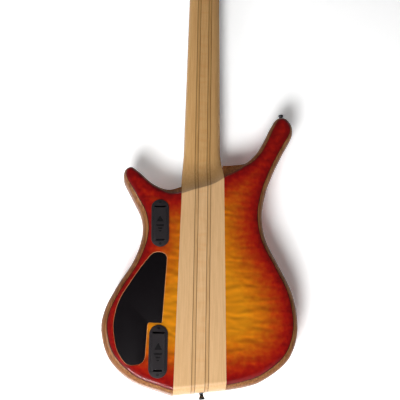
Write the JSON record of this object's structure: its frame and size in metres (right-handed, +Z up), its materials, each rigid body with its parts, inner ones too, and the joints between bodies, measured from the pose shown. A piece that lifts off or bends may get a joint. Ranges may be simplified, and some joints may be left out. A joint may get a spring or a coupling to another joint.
{
  "type": "electric bass guitar",
  "caption": "Neck-through electric bass guitar with a long upper horn, fretted neck, geared tuners, turning control knobs and flip-out battery boxes in the back.",
  "frame": {"origin": "on the neck's centre line in the glue plane of the fretboard, under the playing edge of the nut, where a wall hanger's yoke carries the headstock", "axes": "+Z up the neck to the headstock, +Y out of the back, strings facing -Y, treble side and controls at +X"},
  "size_m": [0.3049, 0.0731, 1.1505],
  "materials": {
    "maple": "satin",
    "stringer_maple": "satin",
    "walnut": "gloss",
    "burst_maple": "gloss",
    "ebony": "satin",
    "black_plastic": "satin",
    "black_metal": "satin",
    "steel": "satin",
    "board_green": "satin",
    "cell_case": "gloss"
  },
  "bodies": {
    "instrument": {"back_cap_bass": "burst_maple", "back_cap_treble": "burst_maple", "battery_housing_lower": "black_plastic", "battery_housing_upper": "black_plastic", "body_wing_bass": "walnut", "body_wing_treble": "walnut", "bridge_plate": "black_metal", "control_board": "board_green", "control_cover": "black_plastic", "fretboard": "ebony", "headstock_veneer": "ebony", "neck_center_lamination": "maple", "neck_outer_lamination_bass": "maple", "neck_outer_lamination_treble": "maple", "neck_stringer_bass": "stringer_maple", "neck_stringer_treble": "stringer_maple", "nut": "black_plastic", "output_jack": "black_metal", "pickup_bridge": "black_plastic", "pickup_neck": "black_plastic", "saddle_1": "black_metal", "saddle_2": "black_metal", "saddle_3": "black_metal", "saddle_4": "black_metal", "saddle_5": "black_metal", "strap_button_horn": "black_metal", "strap_button_tail": "black_metal", "string_1": "steel", "string_2": "steel", "string_3": "steel", "string_4": "steel", "string_5": "steel", "top_cap_bass": "burst_maple", "top_cap_treble": "burst_maple", "truss_rod": "steel", "truss_rod_cover": "black_plastic", "tuner_frame_1": "black_metal", "tuner_frame_2": "black_metal", "tuner_frame_3": "black_metal", "tuner_frame_4": "black_metal", "tuner_frame_5": "black_metal"},
    "post_1": {"tuner_post_1": "black_metal"},
    "key_1": {"tuner_key_1": "black_metal"},
    "post_2": {"tuner_post_2": "black_metal"},
    "key_2": {"tuner_key_2": "black_metal"},
    "post_3": {"tuner_post_3": "black_metal"},
    "key_3": {"tuner_key_3": "black_metal"},
    "post_4": {"tuner_post_4": "black_metal"},
    "key_4": {"tuner_key_4": "black_metal"},
    "post_5": {"tuner_post_5": "black_metal"},
    "key_5": {"tuner_key_5": "black_metal"},
    "volume_knob": {"knob_volume": "black_metal"},
    "blend_knob": {"knob_blend": "black_metal"},
    "treble_knob": {"knob_treble": "black_metal"},
    "bass_knob": {"knob_bass": "black_metal"},
    "battery_tray_upper": {"battery_door_upper": "black_plastic", "battery_upper": "cell_case"},
    "battery_tray_lower": {"battery_door_lower": "black_plastic", "battery_lower": "cell_case"}
  },
  "joints": [
    {"name": "key_1_turn", "type": "hinge", "parent": "instrument", "child": "key_1", "pos_m": [0.03, 0.03491, 0.06849], "axis": [1, 0, 0], "continuous": true},
    {"name": "post_1_turn", "type": "hinge", "parent": "instrument", "child": "post_1", "pos_m": [0.03, 0.01145, 0.0649], "axis": [0, 0.9816, -0.1908], "continuous": true},
    {"name": "key_2_turn", "type": "hinge", "parent": "instrument", "child": "key_2", "pos_m": [0.028, 0.04369, 0.11364], "axis": [1, 0, 0], "continuous": true},
    {"name": "post_2_turn", "type": "hinge", "parent": "instrument", "child": "post_2", "pos_m": [0.028, 0.02023, 0.11005], "axis": [0, 0.9816, -0.1908], "continuous": true},
    {"name": "key_3_turn", "type": "hinge", "parent": "instrument", "child": "key_3", "pos_m": [-0.026, 0.04846, 0.13818], "axis": [1, 0, 0], "continuous": true},
    {"name": "post_3_turn", "type": "hinge", "parent": "instrument", "child": "post_3", "pos_m": [-0.026, 0.025, 0.13459], "axis": [0, 0.9816, -0.1908], "continuous": true},
    {"name": "key_4_turn", "type": "hinge", "parent": "instrument", "child": "key_4", "pos_m": [-0.0285, 0.04026, 0.09597], "axis": [1, 0, 0], "continuous": true},
    {"name": "post_4_turn", "type": "hinge", "parent": "instrument", "child": "post_4", "pos_m": [-0.0285, 0.01679, 0.09238], "axis": [0, 0.9816, -0.1908], "continuous": true},
    {"name": "key_5_turn", "type": "hinge", "parent": "instrument", "child": "key_5", "pos_m": [-0.0295, 0.03224, 0.05474], "axis": [1, 0, 0], "continuous": true},
    {"name": "post_5_turn", "type": "hinge", "parent": "instrument", "child": "post_5", "pos_m": [-0.0295, 0.00878, 0.05115], "axis": [0, 0.9816, -0.1908], "continuous": true},
    {"name": "volume_turn", "type": "hinge", "parent": "instrument", "child": "volume_knob", "pos_m": [0.076, 0, -0.768], "axis": [0, -1, 0], "range_deg": [-140, 140]},
    {"name": "blend_turn", "type": "hinge", "parent": "instrument", "child": "blend_knob", "pos_m": [0.092, 0, -0.797], "axis": [0, -1, 0], "range_deg": [-140, 140]},
    {"name": "treble_turn", "type": "hinge", "parent": "instrument", "child": "treble_knob", "pos_m": [0.106, 0, -0.829], "axis": [0, -1, 0], "range_deg": [-140, 140]},
    {"name": "bass_turn", "type": "hinge", "parent": "instrument", "child": "bass_knob", "pos_m": [0.106, 0, -0.865], "axis": [0, -1, 0], "range_deg": [-140, 140]},
    {"name": "battery_upper_swing", "type": "hinge", "parent": "instrument", "child": "battery_tray_upper", "pos_m": [0.0669, 0.041, -0.71308], "axis": [-0.9994, 0, 0.0349], "range_deg": [0, 80]},
    {"name": "battery_lower_swing", "type": "hinge", "parent": "instrument", "child": "battery_tray_lower", "pos_m": [0.0633, 0.041, -0.9154], "axis": [-0.9999, 0, 0.0105], "range_deg": [0, 80]}
  ],
  "couplings": [
    {"joint": "post_1_turn", "follows": "key_1_turn", "ratio": 0.05},
    {"joint": "post_2_turn", "follows": "key_2_turn", "ratio": 0.05},
    {"joint": "post_3_turn", "follows": "key_3_turn", "ratio": -0.05},
    {"joint": "post_4_turn", "follows": "key_4_turn", "ratio": -0.05},
    {"joint": "post_5_turn", "follows": "key_5_turn", "ratio": -0.05}
  ]
}
